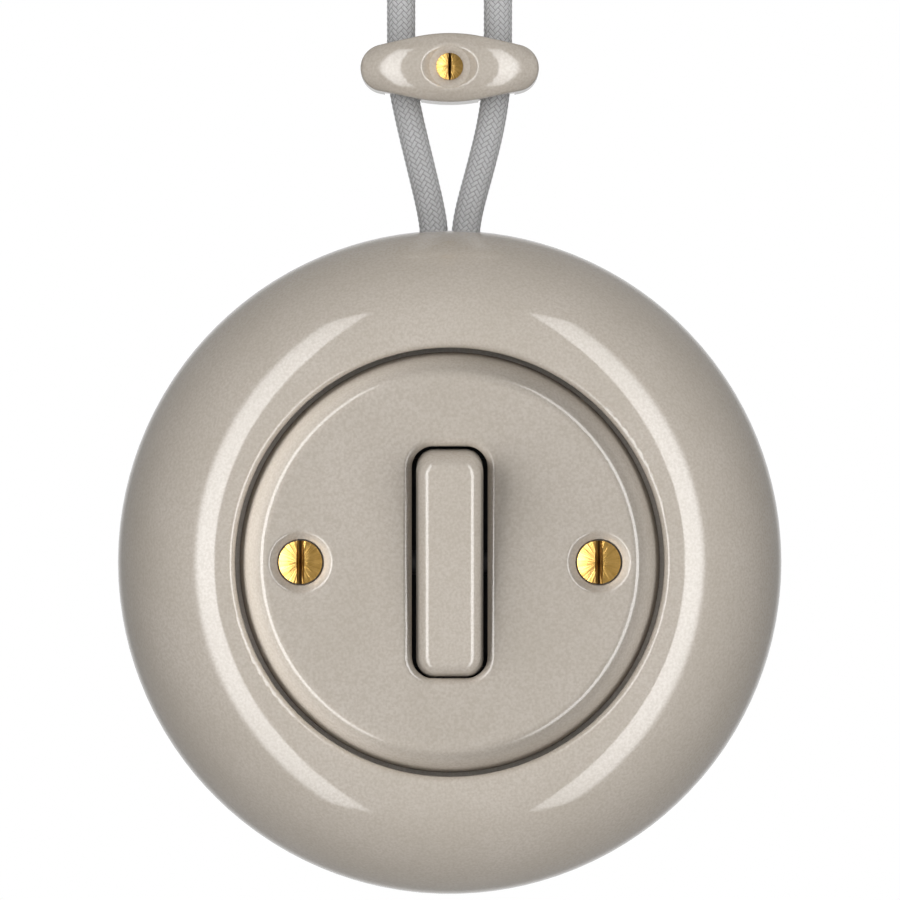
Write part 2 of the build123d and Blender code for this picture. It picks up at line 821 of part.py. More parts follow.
# The lid that closes the contact chamber, with an opening for the stem's swing
with BuildPart() as housing_lid:
    with BuildSketch(front_plane(lid_depth)):
        RectangleRounded(cavity_width - 2 * lid_gap, cavity_height - 2 * lid_gap, housing_corner)
        SlotOverall(lid_hole_length, lid_hole_width, rotation=90, mode=Mode.SUBTRACT)
    extrude(amount=lid_thickness)
housing_lid.part.label = "housing_lid"
export_step(housing_lid.part, "parts/housing_lid.step")

# The rivets that join the housing's flange to the strap
with BuildPart() as housing_rivets:
    rivet(
        front_plane(0),
        [(x, z) for x in (-rivet_spacing_x / 2, rivet_spacing_x / 2)
         for z in (-rivet_spacing_z / 2, rivet_spacing_z / 2)],
        rivet_radius,
        rivet_head_radius,
        strap_depth - flange_thickness,
        strap_front,
        rivet_head_height,
        rivet_head_height,
    )
housing_rivets.part.label = "housing_rivets"
export_step(housing_rivets.part, "parts/housing_rivets.step")

# The see-saw blade on its trunnions, and the silver rivets under its ends
with BuildPart() as contact_blade:
    with BuildSketch(blade_frame.offset(-blade_thickness / 2)):
        RectangleRounded(blade_width, blade_length, blade_corner)
        with Locations((0, -contact_reach), (0, contact_reach)):
            Circle(contact_shank_radius + thread_clearance, mode=Mode.SUBTRACT)
    extrude(amount=blade_thickness)
    with BuildSketch(side_of(blade_frame)):
        Circle(trunnion_radius)
    extrude(amount=fulcrum_inset + fulcrum_wall + trunnion_spare, both=True)
contact_blade.part.label = "contact_blade"
export_step(contact_blade.part, "parts/contact_blade.step")

with BuildPart() as blade_rivets:
    rivet(
        blade_frame,
        [(0, -contact_reach), (0, contact_reach)],
        contact_shank_radius,
        contact_radius,
        -blade_thickness / 2,
        blade_thickness / 2,
        contact_tail,
        contact_height,
    )
blade_rivets.part.label = "blade_rivets"
export_step(blade_rivets.part, "parts/blade_rivets.step")

# The common contact: a strip on the cavity's floor with two forks for the trunnions
with BuildPart() as common_contact:
    with BuildSketch(front_plane(cavity_floor)):
        Rectangle(2 * (fulcrum_inset + fulcrum_wall), strip_width)
        with Locations((-terminal_x, 0)):
            Rectangle(terminal_x, strip_width, align=(Align.MIN, Align.CENTER))
    extrude(amount=strip_thickness)
    for x in (-fulcrum_inset - fulcrum_wall, fulcrum_inset):
        with BuildSketch(side_plane(x)):
            with Locations((0, strip_front)):
                Rectangle(
                    fork_width, blade_depth + fork_height - strip_front,
                    align=(Align.CENTER, Align.MIN),
                )
            with Locations((0, blade_depth)):
                Circle(trunnion_radius + trunnion_running, mode=Mode.SUBTRACT)
                Rectangle(
                    2 * (trunnion_radius + trunnion_running), 2 * fork_height,
                    align=(Align.CENTER, Align.MIN), mode=Mode.SUBTRACT,
                )
        extrude(amount=fulcrum_wall)
common_contact.part.label = "common_contact"
export_step(common_contact.part, "parts/common_contact.step")

# The two fixed contacts and their silver rivets
for name, z in (("upper_contact", contact_reach), ("lower_contact", -contact_reach)):
    with BuildPart() as fixed_contact:
        with BuildSketch(front_plane(cavity_floor)):
            with Locations((-strip_start, z)):
                Rectangle(terminal_x + strip_start, strip_width, align=(Align.MIN, Align.CENTER))
        extrude(amount=strip_thickness)
    fixed_contact.part.label = name
    export_step(fixed_contact.part, f"parts/{name}.step")

with BuildPart() as fixed_rivets:
    with BuildSketch(front_plane(strip_front)):
        with Locations((0, -contact_z), (0, contact_z)):
            Circle(contact_radius)
    extrude(amount=fixed_rivet_height)
    chamfer(fixed_rivets.faces().sort_by(Axis.Y)[:2].edges(), contact_chamfer)
fixed_rivets.part.label = "fixed_rivets"
export_step(fixed_rivets.part, "parts/fixed_rivets.step")

# The brass terminals on the housing's shelves, and their clamp screws
for name, (x, z) in terminal_places.items():
    with BuildPart() as terminal:
        with BuildSketch(front_plane(shelf_front)):
            with Locations((x, z)):
                RectangleRounded(terminal_width, terminal_span, terminal_corner)
        extrude(amount=terminal_height)
        with BuildSketch(level_plane(z + terminal_span / 2)):
            with Locations((x, wire_depth)):
                Circle(terminal_hole_radius)
        extrude(amount=terminal_span, mode=Mode.SUBTRACT)
        with BuildSketch(front_plane(wire_depth)):
            with Locations((x, z)):
                Circle(clamp_radius + thread_clearance)
        extrude(amount=terminal_height, mode=Mode.SUBTRACT)
    terminal.part.label = name
    export_step(terminal.part, f"parts/{name}.step")

with BuildPart() as terminal_screws:
    for x, z in terminal_places.values():
        screw(
            x,
            z,
            terminal_front + clamp_lift,
            (clamp_head_radius, clamp_head_side, clamp_head_dome),
            (clamp_radius, clamp_length),
            (strap_slot_width, strap_slot_depth),
        )
terminal_screws.part.label = "terminal_screws"
export_step(terminal_screws.part, "parts/terminal_screws.step")

# The grommet in the ring's notch, which grips both cords
with BuildPart() as cord_grommet:
    with BuildSketch(level_plane(grommet_outer)) as grommet_section:
        Rectangle(
            grommet_width - 2 * grommet_clearance, grommet_height - grommet_clearance,
            align=(Align.CENTER, Align.MIN),
        )
        fillet(grommet_section.vertices().group_by(Axis.Y)[-1], grommet_corner)
        with Locations((cord_left_route[0][0], cord_depth), (cord_right_route[0][0], cord_depth)):
            Circle(cord_radius - grommet_grip, mode=Mode.SUBTRACT)
    extrude(amount=grommet_outer - grommet_inner)
cord_grommet.part.label = "cord_grommet"
export_step(cord_grommet.part, "parts/cord_grommet.step")

# The two braided cords: straight runs joined by arcs as large as the runs allow
for name, route in (("cord_left", cord_left_route), ("cord_right", cord_right_route)):
    points = [Vector(x, -cord_depth, z) for x, z in route]
    radii = bend_radii(points)
    with BuildPart() as cord:
        with BuildLine() as cord_path:
            FilletPolyline(*points, radius=radii)
        with BuildSketch(Plane(origin=cord_path.line @ 0, z_dir=cord_path.line % 0)):
            Circle(cord_radius)
        sweep()
    cord.part.label = name
    export_step(cord.part, f"parts/{name}.step")
    length = sum(edge.length for edge in cord_path.edges())
    print(name, "length", round(length, 1), "radii", [round(radius, 1) for radius in radii])
    print(name, "volume", round(cord.part.volume, 1), "from section", round(length * cord_section, 1))

# The insulated cores inside: the live ones to two terminals, the neutral ones to a joint
with BuildPart() as live_cores:
    for route in live_routes:
        points = [Vector(x, -depth, z) for x, depth, z in route]
        with BuildLine() as core_path:
            FilletPolyline(*points, radius=bend_radii(points))
        with BuildSketch(Plane(origin=core_path.line @ 0, z_dir=core_path.line % 0)):
            Circle(core_radius)
        sweep(path=core_path.line)
live_cores.part.label = "live_cores"
export_step(live_cores.part, "parts/live_cores.step")

with BuildPart() as neutral_cores:
    for route in neutral_routes:
        points = [Vector(x, -depth, z) for x, depth, z in route]
        with BuildLine() as core_path:
            FilletPolyline(*points, radius=bend_radii(points))
        with BuildSketch(Plane(origin=core_path.line @ 0, z_dir=core_path.line % 0)):
            Circle(core_radius)
        sweep(path=core_path.line)
neutral_cores.part.label = "neutral_cores"
export_step(neutral_cores.part, "parts/neutral_cores.step")

# The insulated joint that carries the neutral on
with BuildPart() as neutral_connector:
    with BuildSketch(level_plane(connector_top)) as connector_section:
        with Locations((0, base_thickness)):
            Rectangle(connector_width, connector_depth, align=(Align.CENTER, Align.MIN))
        fillet(connector_section.vertices(), connector_corner)
        with Locations((-connector_x, connector_wire_depth), (connector_x, connector_wire_depth)):
            Circle(connector_hole_radius, mode=Mode.SUBTRACT)
    extrude(amount=connector_hole_depth)
    with BuildSketch(level_plane(connector_top - connector_hole_depth)) as connector_section:
        with Locations((0, base_thickness)):
            Rectangle(connector_width, connector_depth, align=(Align.CENTER, Align.MIN))
        fillet(connector_section.vertices(), connector_corner)
    extrude(amount=connector_length - connector_hole_depth)
neutral_connector.part.label = "neutral_connector"
export_step(neutral_connector.part, "parts/neutral_connector.step")

# The porcelain clips: a crowned body over two grooves, with a sunk seat for the screw
for name, level in cleat_levels.items():
    clip_front = Plane(origin=(0, 0, level), x_dir=(1, 0, 0), z_dir=(0, -1, 0))
    with BuildPart() as cleat:
        with BuildSketch(level_plane(level)):
            with BuildLine():
                top = JernArc((0, cleat_height), (1, 0), cleat_top_radius, -cleat_top_turn)
                end = JernArc(top @ 1, top % 1, cleat_end_radius, cleat_top_turn - cleat_end_turn)
                mirror(end, about=Plane.YZ)
                mirror(top, about=Plane.YZ)
                crown_end = (end @ 1).X
                Polyline(
                    end @ 1,
                    (crown_end, cleat_waist),
                    (-crown_end, cleat_waist),
                    (-crown_end, (end @ 1).Y),
                )
            make_face()
        revolve(axis=Axis((0, -cleat_waist, level), (1, 0, 0)))
        for height, mode in ((cleat_waist, Mode.ADD), (cleat_height, Mode.INTERSECT)):
            with BuildSketch(clip_front):
                with BuildLine():
                    lobe = CenterArc((cleat_lobe_x, 0), cleat_lobe_radius, 0, cleat_flank_turn)
                    middle = JernArc(
                        (0, cleat_width / 2), (1, 0), cleat_middle_radius, cleat_flank_turn - 90
                    )
                    Line(middle @ 1, lobe @ 1)
                    Polyline(lobe @ 0, (0, 0), middle @ 0)
                make_face()
                mirror(about=Plane.XZ)
                mirror(about=Plane.YZ)
            extrude(amount=height, mode=mode)
        crown_edges = cleat.edges().filter_by(
            lambda edge: -edge.center().Y > cleat_waist + cleat_seam
            and hypot(edge.center().X, edge.center().Z - level) > cleat_width / 4
        )
        fillet(crown_edges, cleat_rounding)
        with BuildSketch(level_plane(level)):
            with BuildLine():
                Polyline(
                    (0, cleat_seat),
                    (cleat_seat_radius, cleat_seat),
                    (cleat_recess_radius, cleat_height),
                    (2 * cleat_recess_radius - cleat_seat_radius, 2 * cleat_height - cleat_seat),
                    (0, 2 * cleat_height - cleat_seat),
                    close=True,
                )
            make_face()
        revolve(axis=Axis((0, 0, level), (0, 1, 0)), mode=Mode.SUBTRACT)
        lip = cleat.edges().filter_by(lambda edge: edge.is_closed).sort_by(Axis.Y)[0]
        fillet(lip, cleat_recess_rounding)
        with Locations(Plane(origin=(0, -cleat_seat, level), x_dir=(1, 0, 0), z_dir=(0, -1, 0))):
            Hole(cleat_neck_radius + screw_clearance)
        with BuildSketch(level_plane(level + cleat_length / 2)):
            for x in (-groove_offset, groove_offset):
                with Locations((x, cord_depth)):
                    Circle(groove_radius)
                with Locations((x, 0)):
                    Rectangle(2 * groove_radius, cord_depth, align=(Align.CENTER, Align.MIN))
        extrude(amount=cleat_length, mode=Mode.SUBTRACT)
    cleat.part.label = name
    export_step(cleat.part, f"parts/{name}.step")

with BuildPart() as cleat_screws:
    for level in cleat_levels.values():
        screw(
            0,
            level,
            cleat_seat,
            (cleat_head_radius, cleat_head_side, cleat_head_dome),
            (cleat_thread_radius, cleat_screw_length),
            (cleat_slot_width, cleat_slot_depth),
            point=cleat_screw_point,
            neck=(cleat_neck_radius, cleat_neck_length),
        )
cleat_screws.part.label = "cleat_screws"
export_step(cleat_screws.part, "parts/cleat_screws.step")

# The ends of the cords: shrunk sleeves, cores and bare strands
with BuildPart() as cord_end_sleeves:
    with BuildSketch(level_plane(cord_end + sleeve_overrun)):
        with Locations(*cord_end_places):
            Circle(cord_radius + sleeve_gap + sleeve_wall)
            Circle(cord_radius + sleeve_gap, mode=Mode.SUBTRACT)
    extrude(amount=sleeve_overlap + sleeve_overrun)
cord_end_sleeves.part.label = "cord_end_sleeves"
export_step(cord_end_sleeves.part, "parts/cord_end_sleeves.step")

with BuildPart() as cord_end_cores:
    with BuildSketch(level_plane(cord_end)):
        with Locations(*core_end_places):
            Circle(core_radius)
    extrude(amount=-core_tail)
cord_end_cores.part.label = "cord_end_cores"
export_step(cord_end_cores.part, "parts/cord_end_cores.step")

with BuildPart() as cord_end_strands:
    with BuildSketch(level_plane(cord_end + core_tail)):
        with Locations(*core_end_places):
            Circle(strand_radius)
    extrude(amount=-strand_tail)
cord_end_strands.part.label = "cord_end_strands"
export_step(cord_end_strands.part, "parts/cord_end_strands.step")
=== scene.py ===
from math import cos, pi, radians, sin, tau

import bpy
import numpy as np
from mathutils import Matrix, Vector


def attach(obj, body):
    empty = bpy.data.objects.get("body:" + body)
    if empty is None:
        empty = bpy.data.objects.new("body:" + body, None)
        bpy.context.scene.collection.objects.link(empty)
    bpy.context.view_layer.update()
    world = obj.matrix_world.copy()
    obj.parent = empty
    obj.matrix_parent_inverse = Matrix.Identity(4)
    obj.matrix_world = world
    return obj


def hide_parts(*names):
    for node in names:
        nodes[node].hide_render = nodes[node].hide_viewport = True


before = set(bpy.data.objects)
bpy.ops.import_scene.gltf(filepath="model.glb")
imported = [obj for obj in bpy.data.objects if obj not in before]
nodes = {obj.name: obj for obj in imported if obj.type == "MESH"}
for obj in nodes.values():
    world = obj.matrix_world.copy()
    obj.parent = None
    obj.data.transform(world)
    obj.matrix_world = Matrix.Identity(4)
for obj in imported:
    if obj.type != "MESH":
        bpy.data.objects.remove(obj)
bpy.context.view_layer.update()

# View: the photograph is 900 pixels square, taken level with the ring's middle. VIEW_WIDTH is
# what it spans in metres at WIDEST_DEPTH, where the ring is widest.
PICTURE = 900
RING_X_PIXEL = 449.7
RING_Y_PIXEL = 562.2
CAMERA_DISTANCE = 1.203
WIDEST_DEPTH = 0.0094
VIEW_WIDTH = 0.13575
SENSOR = 36.0
NEAR_CLIP = 0.01

# Cords: the route of each, as (x, z) in metres, at one depth along the wall
CORD_DEPTH = 0.0030
CORD_RADIUS = 0.00217
CORD_END = 0.106
CORD_ROUTES = {
    "cord_left": [
        (-0.00222, 0.0440), (-0.00225, 0.0474), (-0.00245, 0.0512), (-0.00310, 0.0546),
        (-0.00420, 0.0592), (-0.00610, 0.0670), (-0.00715, 0.0722), (-0.00735, 0.0764),
        (-0.00736, 0.0830), (-0.00737, CORD_END),
    ],
    "cord_right": [
        (0.00222, 0.0440), (0.00227, 0.0474), (0.00250, 0.0510), (0.00313, 0.0542),
        (0.00460, 0.0595), (0.00610, 0.0654), (0.00695, 0.0706), (0.00730, 0.0756),
        (0.00732, 0.0825), (0.00736, CORD_END),
    ],
}
ROUTE_ORDER = 3
ROUTE_STEPS = 24

# Braid: strands that lean one way around the cord, the length of one crossing, how far the skin
# falls between strands, how high a strand still stands where it dives, after how many crossings
# the weave repeats, and the mesh's points around and along the cord
BRAID_STRANDS = 16
BRAID_PITCH = 0.00088
BRAID_RELIEF = 0.00015
BRAID_DIVE = 0.35
BRAID_REPEAT = 4
BRAID_AROUND = 144
BRAID_ALONG = 560

# Yarn: fine threads in a strand, from where across it and along it painted shade darkens it (0.5
# is its edge or end), how dark that shade gets at its ends, and the painted shade's share at its
# edge
YARN_THREADS = 5
GAP_SHADE_START = 0.36
DIVE_SHADE_START = 0.4
DIVE_SHADE = 0.8
GAP_SHADE_SHARE = 0.8

# Light: each lamp's name, turn and rise in degrees, distance, width and height in metres,
# brightness, whether it reflects in gloss, the pieces that it alone lights or leaves out, and
# between which places across it its outer edge fades
AREA_LIGHT_SHARE = 4.0
PLATE = ("centre_plate",)
SCREWS = ("cover_screws", "cleat_screws")
LAMPS = [
    ("gloss_left", -43, 0, 1.2, 0.60, 3.8, 7.0, True, ("EXCLUDE", SCREWS), (0.0, 0.35)),
    ("gloss_right", 43, 0, 1.2, 0.60, 3.8, 7.0, True, ("EXCLUDE", SCREWS), (1.0, 0.65)),
    ("screws_left", -43, 0, 1.2, 0.60, 3.8, 5.0, True, ("INCLUDE", SCREWS), None),
    ("screws_right", 40, 0, 1.2, 0.60, 3.8, 0.25, True, ("INCLUDE", SCREWS), None),
    ("plate_left", -66, 2, 1.2, 0.7, 1.4, 6.2, False, ("INCLUDE", PLATE), None),
    ("plate_right", 58, -8, 1.2, 0.6, 1.4, 2.8, False, ("INCLUDE", PLATE), None),
    ("front", 0, 25, 1.6, 1.2, 1.6, 2.15, False, ("EXCLUDE", PLATE), None),
    ("front_low", 0, -35, 1.6, 1.2, 1.2, 1.8, False, ("EXCLUDE", PLATE), None),
    ("fill_left", -80, 0, 1.4, 1.2, 2.0, 0.32, False, ("EXCLUDE", PLATE), None),
    ("fill_right", 80, 0, 1.4, 1.2, 2.0, 0.32, False, ("EXCLUDE", PLATE), None),
    ("fill_top", 0, 80, 1.4, 1.2, 2.0, 0.32, False, ("EXCLUDE", PLATE), None),
    ("fill_low", 0, -80, 1.4, 1.2, 2.0, 0.32, False, ("EXCLUDE", PLATE), None),
]
# What is left of a fading lamp's brightness at its top and bottom ends
END_GLOW = 0.45
# The world's brightness in gloss, from straight behind the camera to straight ahead of it
GLOSS_WORLD = [(0.0, 0.45), (0.12, 0.35), (0.3, 0.15), (0.8, 0.12), (0.96, 0.3), (0.99, 0.7)]
EVEN_WORLD = 0.2

# Floor: half its side and its level in metres, its two tones and its own glow
FLOOR_HALF = 2.5
FLOOR_LEVEL = -0.25
FLOOR_TONES = (0.78, 0.78, 0.77, 1), (0.82, 0.82, 0.81, 1)
FLOOR_GLOW = 0.5

# Where most values of a noise lie, and two narrower cuts for patterns with clearer edges
NOISE_RANGE = (0.3, 0.7)
SHARP_RANGE = (0.35, 0.65)
STAIN_RANGE = (0.35, 0.7)

# Tones on screen, 0 to 255, of the glaze and the yarn
GLAZE_TONES = (197, 189, 179), (191, 183, 172)
GLAZE_SPECKLE = (176, 165, 152)
SPECKLE_SHARE = 0.6
YARN_TONES = (178, 178, 179), (222, 222, 223)
# Painted shade for the gaps between braid strands and where a strand dives under
YARN_GAP_SHADE = (98, 96, 94)

# The screws: the middle of each head, as (x, z), with the slot's width and the depths between
# which its painted shade darkens. SLOT_CORE is the share of the width from the slot's middle where
# the painted shade is darkest and where it has thinned to SLOT_SIDE.
COVER_SCREW_PLACES = [(-0.022, 0.0), (0.022, 0.0)]
COVER_SLOT = (0.0012, 0.0369, 0.0362)
CLIP_SCREW_PLACES = [(0.0, 0.0747), (0.0, 0.0950)]
CLIP_SLOT = (0.00055, 0.0115, 0.0110)
SLOT_CORE = (0.1, 0.32)
SLOT_SIDE = 0.3
# Painted shade: the dark tone put down in each screw slot
SLOT_SHADE_TONE = (0.06, 0.03, 0.01, 1)
HEAD_TONES = (0.77, 0.48, 0.15, 1), (0.5, 0.29, 0.07, 1)
BRASS_TONES = (0.76, 0.55, 0.24, 1), (0.58, 0.4, 0.15, 1)

GLAZED_NODES = ("porcelain_ring", "centre_plate", "rocker_button", "cable_cleat", "upper_cleat")
BRASS_NODES = (
    "contact_blade", "common_contact", "upper_contact", "lower_contact",
    "terminal_common", "terminal_upper", "terminal_lower",
)

# Moulded materials: name, darker and lighter tone, least roughness, the grain's height, nodes
MOULDED_SPREAD = 0.12
MOULDED = [
    ("biscuit_ceramic", (0.62, 0.59, 0.52, 1), (0.74, 0.71, 0.64, 1), 0.55, 0.00002,
     ("back_base",)),
    ("black_moulding", (0.012, 0.012, 0.013, 1), (0.022, 0.022, 0.023, 1), 0.4, 0.00001,
     ("mechanism_housing", "housing_lid", "rocker_cradle")),
    ("pale_moulding", (0.62, 0.62, 0.58, 1), (0.7, 0.7, 0.66, 1), 0.35, 0.00001,
     ("plunger", "neutral_connector")),
    ("grey_rubber", (0.05, 0.05, 0.05, 1), (0.08, 0.08, 0.08, 1), 0.6, 0.00001,
     ("cord_grommet", "cord_end_sleeves")),
    ("brown_insulation", (0.12, 0.045, 0.02, 1), (0.17, 0.065, 0.03, 1), 0.3, 0.00001,
     ("live_cores", "cord_end_cores")),
    ("blue_insulation", (0.03, 0.1, 0.35, 1), (0.04, 0.14, 0.42, 1), 0.3, 0.00001,
     ("neutral_cores",)),
]

# Plated or drawn metals: name, darker and lighter tone, least roughness, the scale that pulls
# their marks along one axis, nodes
PLATED_SPREAD = 0.15
PLATED = [
    ("zinc_steel", (0.45, 0.46, 0.47, 1), (0.62, 0.62, 0.62, 1), 0.25, (1, 1, 0.2),
     ("mounting_strap", "strap_screws", "housing_rivets", "pivot_pin", "toggle_spring",
      "terminal_screws")),
    ("silver", (0.72, 0.71, 0.68, 1), (0.85, 0.84, 0.8, 1), 0.15, (1, 1, 1),
     ("blade_rivets", "fixed_rivets")),
    ("copper", (0.75, 0.38, 0.25, 1), (0.85, 0.48, 0.33, 1), 0.25, (1, 1, 0.1),
     ("cord_end_strands",)),
]


class Tree:
    """A short way to write a node tree: each call adds a node and returns what comes out."""

    def __init__(self, tree):
        self.tree = tree

    def add(self, kind, inputs=(), **settings):
        """The new node itself, its settings made and its inputs set or linked."""
        node = self.tree.nodes.new(kind)
        for key, value in settings.items():
            setattr(node, key, value)
        for socket, value in dict(inputs).items():
            self.feed(node.inputs[socket], value)
        return node

    def feed(self, socket, value):
        if isinstance(value, bpy.types.NodeSocket):
            self.tree.links.new(value, socket)
        else:
            socket.default_value = value

    def split(self, vector):
        return self.add("ShaderNodeSeparateXYZ", {"Vector": vector}).outputs

    def maths(self, operation, *values):
        node = self.add("ShaderNodeMath", dict(enumerate(values)), operation=operation)
        return node.outputs[0]

    def vector(self, operation, *values, output="Vector"):
        node = self.add("ShaderNodeVectorMath", dict(enumerate(values)), operation=operation)
        return node.outputs[output]

    def remap(self, value, low, high, to_low=0.0, to_high=1.0, **settings):
        inputs = {
            "Value": value, "From Min": low, "From Max": high, "To Min": to_low, "To Max": to_high,
        }
        return self.add("ShaderNodeMapRange", inputs, **settings).outputs["Result"]

    def ramp(self, value, steps):
        """Greys from a list of (position, brightness)."""
        node = self.add("ShaderNodeValToRGB", {"Fac": value})
        elements = node.color_ramp.elements
        while len(elements) < len(steps):
            elements.new(0.5)
        for element, (position, level) in zip(elements, steps):
            element.position = position
            element.color = (level, level, level, 1)
        return node.outputs["Color"]


class Shader(Tree):
    """The node tree of a new material."""

    def __init__(self, name):
        self.material = bpy.data.materials.new(name)
        self.material.use_nodes = True
        super().__init__(self.material.node_tree)
        self.surface = self.tree.nodes["Principled BSDF"]
        self.place = self.add("ShaderNodeTexCoord").outputs["Object"]

    def set(self, **values):
        """Sets the surface's own sockets, named with underscores for spaces."""
        for name, value in values.items():
            self.feed(self.surface.inputs[name.replace("_", " ")], value)

    def noise(self, scale, detail, roughness=0.5, place=None):
        inputs = {
            "Vector": place or self.place, "Scale": scale, "Detail": detail, "Roughness": roughness,
        }
        return self.add("ShaderNodeTexNoise", inputs).outputs["Fac"]

    def spread(self, noise, low=0.0, high=1.0, taken=NOISE_RANGE):
        """A noise stretched from the range that it takes to all of low to high."""
        return self.remap(noise, *taken, low, high)

    def mix(self, share, first, second):
        node = self.add("ShaderNodeMix", data_type="RGBA")
        self.feed(node.inputs["Factor"], share)
        self.feed(node.inputs["A"], first)
        self.feed(node.inputs["B"], second)
        return node.outputs["Result"]

    def bump(self, height, distance, under=None):
        inputs = {"Height": height, "Distance": distance, "Strength": 1.0}
        if under is not None:
            inputs["Normal"] = under
        return self.add("ShaderNodeBump", inputs).outputs["Normal"]


def tone(screen):
    """A linear colour from its red, green and blue on screen, 0 to 255."""
    shares = [value / 255 for value in screen]
    linear = [
        share / 12.92 if share <= 0.04045 else ((share + 0.055) / 1.055) ** 2.4
        for share in shares
    ]
    return (*linear, 1.0)


def dress(material, names):
    for name in names:
        slots = nodes[name].data.materials
        slots.clear()
        slots.append(material)


def glazed_porcelain():
    """Warm grey glaze: faint clouds, a very fine speckle and a nearly flat, glossy skin."""
    m = Shader("glazed_porcelain")
    clouds = m.spread(m.noise(scale=90, detail=3.0))
    body = m.mix(clouds, *map(tone, GLAZE_TONES))
    speckle = m.spread(m.noise(scale=2600, detail=2.0), taken=SHARP_RANGE)
    m.set(
        Base_Color=m.mix(m.maths("MULTIPLY", speckle, SPECKLE_SHARE), body, tone(GLAZE_SPECKLE)),
        Roughness=m.spread(m.noise(scale=400, detail=2.0), low=0.07, high=0.1),
        Normal=m.bump(m.noise(scale=130, detail=1.0), distance=0.00002),
    )
    return m.material


def turned_brass(name, places, slot_width, slot_top, slot_floor):
    """Bright brass with marks that run out from the middle of each head, dark down in the slot.

    places are the middles of the heads, as (x, z). The slot's sides are darkened with painted
    shade from the depth slot_top down to slot_floor.
    """
    m = Shader(name)
    nearest, outward = None, None
    for x, z in places:
        offset = m.vector("SUBTRACT", m.place, (x, 0, z))
        flat = m.vector("MULTIPLY", offset, (1, 0, 1))
        reach = m.vector("LENGTH", flat, output="Value")
        if nearest is None:
            nearest, outward = reach, flat
        else:
            outward = m.mix(m.maths("LESS_THAN", reach, nearest), outward, flat)
            nearest = m.maths("MINIMUM", nearest, reach)
    heading = m.vector("NORMALIZE", outward)
    marks = m.noise(scale=4.5, detail=3.0, roughness=0.65, place=heading)
    stain = m.spread(m.noise(scale=900, detail=3.0), taken=STAIN_RANGE)
    worn = m.maths("MULTIPLY", m.maths("ADD", stain, m.spread(marks, taken=SHARP_RANGE)), 0.5)
    metal = m.mix(worn, *HEAD_TONES)
    aside = m.maths("ABSOLUTE", m.split(outward)["X"])
    # Painted shade in the slot: darkest at its middle and down towards its floor
    in_shaded_slot = m.maths("LESS_THAN", aside, slot_width / 2)
    core, side = (slot_width * share for share in SLOT_CORE)
    middle = m.remap(aside, core, side, 1.0, SLOT_SIDE)
    depth = m.maths("MULTIPLY", middle, m.remap(m.split(m.place)["Y"], -slot_top, -slot_floor))
    m.set(
        Base_Color=m.mix(m.maths("MULTIPLY", in_shaded_slot, depth), metal, SLOT_SHADE_TONE),
        Metallic=1.0,
        Roughness=m.spread(marks, low=0.24, high=0.4),
        Normal=m.bump(
            m.noise(scale=3500, detail=3.0), distance=0.00002, under=m.bump(marks, distance=0.0002)
        ),
    )
    return m.material


def plain_brass():
    m = Shader("plain_brass")
    stain = m.spread(m.noise(scale=500, detail=3.0), taken=STAIN_RANGE)
    m.set(
        Base_Color=m.mix(stain, *BRASS_TONES),
        Metallic=1.0,
        Roughness=m.spread(m.noise(scale=1200, detail=2.0), low=0.25, high=0.42),
        Normal=m.bump(m.noise(scale=2500, detail=2.0), distance=0.00001),
    )
    return m.material


def braided_cloth():
    """Grey yarn: each strand's fine threads run along it, with painted shade at its edges and where
    it dives.
    """
    m = Shader("braided_cloth")
    strand = m.split(m.add("ShaderNodeUVMap", uv_map="strand").outputs["UV"])
    across, along = strand["X"], strand["Y"]
    aside = m.maths("ABSOLUTE", m.maths("SUBTRACT", across, 0.5))
    ahead = m.maths("ABSOLUTE", m.maths("SUBTRACT", along, 0.5))
    # Painted shade in the gaps between strands and where each strand dives under the next
    painted_gap_shade = m.maths(
        "MAXIMUM",
        m.remap(aside, GAP_SHADE_START, 0.5),
        m.remap(ahead, DIVE_SHADE_START, 0.5, 0.0, DIVE_SHADE),
    )
    threads = m.maths("SINE", m.maths("MULTIPLY", across, YARN_THREADS * tau))
    fibre = m.noise(scale=5000, detail=2.0)
    yarn = m.mix(fibre, *map(tone, YARN_TONES))
    m.set(
        Base_Color=m.mix(m.maths("MULTIPLY", painted_gap_shade, GAP_SHADE_SHARE), yarn, tone(YARN_GAP_SHADE)),
        Roughness=m.spread(fibre, low=0.7, high=0.9),
        Sheen_Weight=0.25,
        Sheen_Roughness=0.4,
        Normal=m.bump(fibre, distance=0.00003, under=m.bump(threads, distance=0.000025)),
    )
    return m.material


def moulded(name, dark, light, gloss, grain_height):
    """Moulded plastic, rubber or biscuit ceramic: two close tones and a fine grain."""
    m = Shader(name)
    grain = m.noise(scale=1800, detail=2.0)
    m.set(
        Base_Color=m.mix(m.spread(m.noise(scale=300, detail=3.0)), dark, light),
        Roughness=m.spread(grain, low=gloss, high=gloss + MOULDED_SPREAD),
        Normal=m.bump(grain, distance=grain_height),
    )
    return m.material


def plated(name, dark, light, gloss, pull):
    """Plated or drawn metal, with its marks pulled along one axis by the scale in pull."""
    m = Shader(name)
    mapping = m.add("ShaderNodeMapping", {"Vector": m.place, "Scale": pull})
    marks = m.noise(scale=1500, detail=3.0, place=mapping.outputs["Vector"])
    m.set(
        Base_Color=m.mix(m.noise(scale=250, detail=3.0), dark, light),
        Metallic=1.0,
        Roughness=m.spread(marks, low=gloss, high=gloss + PLATED_SPREAD),
        Normal=m.bump(marks, distance=0.00001),
    )
    return m.material


def dress_everything():
    dress(glazed_porcelain(), GLAZED_NODES)
    dress(turned_brass("turned_brass", COVER_SCREW_PLACES, *COVER_SLOT), ["cover_screws"])
    dress(turned_brass("clip_brass", CLIP_SCREW_PLACES, *CLIP_SLOT), ["cleat_screws"])
    dress(plain_brass(), BRASS_NODES)
    for *looks, names in MOULDED:
        dress(moulded(*looks), names)
    for *looks, names in PLATED:
        dress(plated(*looks), names)


